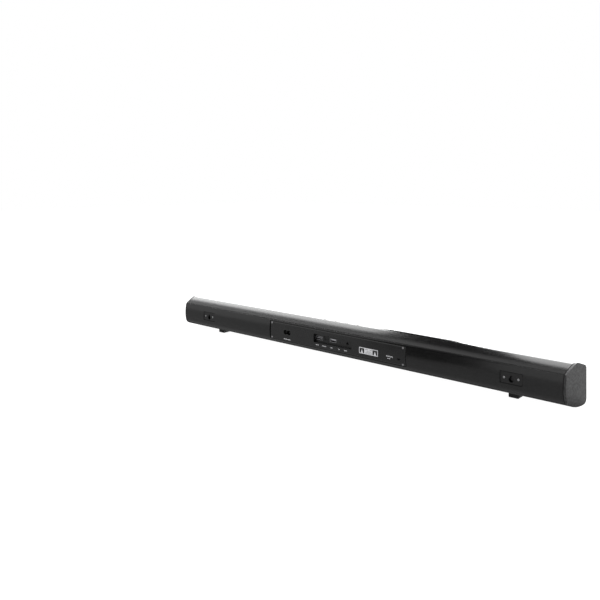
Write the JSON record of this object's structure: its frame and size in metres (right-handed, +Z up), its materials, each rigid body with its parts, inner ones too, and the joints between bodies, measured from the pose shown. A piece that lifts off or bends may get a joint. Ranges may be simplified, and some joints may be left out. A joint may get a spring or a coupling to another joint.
{
  "type": "soundbar",
  "caption": "Slim black soundbar on rubber feet, with a rounded top, slanted end caps, a flat rear connector panel and keyhole plates for hanging on a wall.",
  "frame": {"origin": "centre of the bar's outline on the table plane, under the feet", "axes": "+X along the bar towards its right end as a listener sees it, -Y towards the listener, +Y to the rear with the connectors, +Z up"},
  "size_m": [0.8, 0.054, 0.065],
  "materials": {
    "top_gloss": "gloss black moulded plastic",
    "housing_black": "satin black moulded plastic",
    "baffle_black": "matt black moulded plastic",
    "grille_steel": "perforated steel with black powder coat",
    "panel_black": "satin black moulded plastic with printed marks",
    "plated_steel": "bright plated screw",
    "label_film": "printed polyester film",
    "socket_steel": "stamped tin-plated steel",
    "socket_plastic": "black moulded socket",
    "button_plastic": "satin black button",
    "black_screw": "blackened steel screw",
    "circuit_board": "green solder-masked glass-fibre board",
    "smoked_lens": "smoked clear plastic window",
    "board_parts": "moulded and sleeved electronic parts",
    "heatsink_aluminium": "extruded aluminium",
    "ferrite": "sintered ferrite and steel plates",
    "cap_textured": "spark-textured dark grey plastic",
    "gasket_rubber": "soft black rubber",
    "hanger_plate": "black coated steel plate",
    "foot_rubber": "soft black rubber",
    "basket_steel": "black coated pressed steel",
    "surround_rubber": "butyl rubber",
    "cone_pulp": "black paper pulp",
    "spider_cloth": "resin-dipped cotton cloth",
    "dome_cloth": "coated silk",
    "box_plastic": "black moulded plastic"
  },
  "bodies": {
    "housing": {"amplifier_heatsink": "heatsink_aluminium", "aux_jack": "socket_plastic", "board_screws": "plated_steel", "button_board": "circuit_board", "connector_panel": "panel_black", "connector_panel_screws": "plated_steel", "display_board": "circuit_board", "display_lens": "smoked_lens", "driver_screws": "black_screw", "end_cap_left": "cap_textured", "end_cap_right": "cap_textured", "end_gasket_left": "gasket_rubber", "end_gasket_right": "gasket_rubber", "foot_left": "foot_rubber", "foot_right": "foot_rubber", "front_baffle": "baffle_black", "front_grille": "grille_steel", "hdmi_socket": "socket_steel", "housing_screws": "black_screw", "main_board": "circuit_board", "main_board_parts": "board_parts", "optical_socket": "socket_plastic", "pocket_tub": "panel_black", "power_board": "circuit_board", "power_board_parts": "board_parts", "power_inlet": "socket_plastic", "power_transformer": "ferrite", "rating_label": "label_film", "rear_cover": "housing_black", "service_port": "socket_plastic", "speaker_box_left": "box_plastic", "speaker_box_right": "box_plastic", "top_cover": "top_gloss", "tweeter_frame_left": "baffle_black", "tweeter_frame_right": "baffle_black", "tweeter_magnet_left": "ferrite", "tweeter_magnet_right": "ferrite", "usb_socket": "socket_steel", "wall_hanger_left": "hanger_plate", "wall_hanger_right": "hanger_plate", "wall_hanger_screws": "plated_steel", "wireless_module": "circuit_board", "woofer_basket_left": "basket_steel", "woofer_basket_right": "basket_steel", "woofer_magnet_left": "ferrite", "woofer_magnet_right": "ferrite", "woofer_spider_left": "spider_cloth", "woofer_spider_right": "spider_cloth", "woofer_surround_left": "surround_rubber", "woofer_surround_right": "surround_rubber"},
    "power_button": {"power_button": "button_plastic"},
    "source_button": {"source_button": "button_plastic"},
    "volume_down_button": {"volume_down_button": "button_plastic"},
    "volume_up_button": {"volume_up_button": "button_plastic"},
    "pairing_button": {"pairing_button": "button_plastic"},
    "optical_shutter": {"optical_shutter": "socket_plastic"},
    "woofer_cone_left": {"woofer_cone_left": "cone_pulp"},
    "tweeter_dome_left": {"tweeter_dome_left": "dome_cloth"},
    "woofer_cone_right": {"woofer_cone_right": "cone_pulp"},
    "tweeter_dome_right": {"tweeter_dome_right": "dome_cloth"}
  },
  "joints": [
    {"name": "power_button_press", "type": "slide", "parent": "housing", "child": "power_button", "axis": [0, 0, -1], "range_m": [0, 0.0005], "stiffness_N_per_m": 800, "springref_m": -0.0005},
    {"name": "source_button_press", "type": "slide", "parent": "housing", "child": "source_button", "axis": [0, 0, -1], "range_m": [0, 0.0005], "stiffness_N_per_m": 800, "springref_m": -0.0005},
    {"name": "volume_down_button_press", "type": "slide", "parent": "housing", "child": "volume_down_button", "axis": [0, 0, -1], "range_m": [0, 0.0005], "stiffness_N_per_m": 800, "springref_m": -0.0005},
    {"name": "volume_up_button_press", "type": "slide", "parent": "housing", "child": "volume_up_button", "axis": [0, 0, -1], "range_m": [0, 0.0005], "stiffness_N_per_m": 800, "springref_m": -0.0005},
    {"name": "pairing_button_press", "type": "slide", "parent": "housing", "child": "pairing_button", "axis": [0, -1, 0], "range_m": [0, 0.0005], "stiffness_N_per_m": 600, "springref_m": -0.0005},
    {"name": "optical_shutter_swing", "type": "hinge", "parent": "housing", "child": "optical_shutter", "pos_m": [0.0175, 0.0202, 0.03985], "axis": [-1, 0, 0], "range_deg": [0, 85], "stiffness_Nm_per_rad": 0.0006, "springref_deg": -11.46},
    {"name": "woofer_cone_left_stroke", "type": "slide", "parent": "housing", "child": "woofer_cone_left", "axis": [0, -1, 0], "range_m": [-0.0015, 0.0015], "stiffness_N_per_m": 1400, "deforming": ["woofer_surround_left", "woofer_spider_left"]},
    {"name": "woofer_cone_right_stroke", "type": "slide", "parent": "housing", "child": "woofer_cone_right", "axis": [0, -1, 0], "range_m": [-0.0015, 0.0015], "stiffness_N_per_m": 1400, "deforming": ["woofer_surround_right", "woofer_spider_right"]},
    {"name": "tweeter_dome_left_stroke", "type": "slide", "parent": "housing", "child": "tweeter_dome_left", "axis": [0, -1, 0], "range_m": [-0.0002, 0.0002], "stiffness_N_per_m": 2500},
    {"name": "tweeter_dome_right_stroke", "type": "slide", "parent": "housing", "child": "tweeter_dome_right", "axis": [0, -1, 0], "range_m": [-0.0002, 0.0002], "stiffness_N_per_m": 2500}
  ]
}
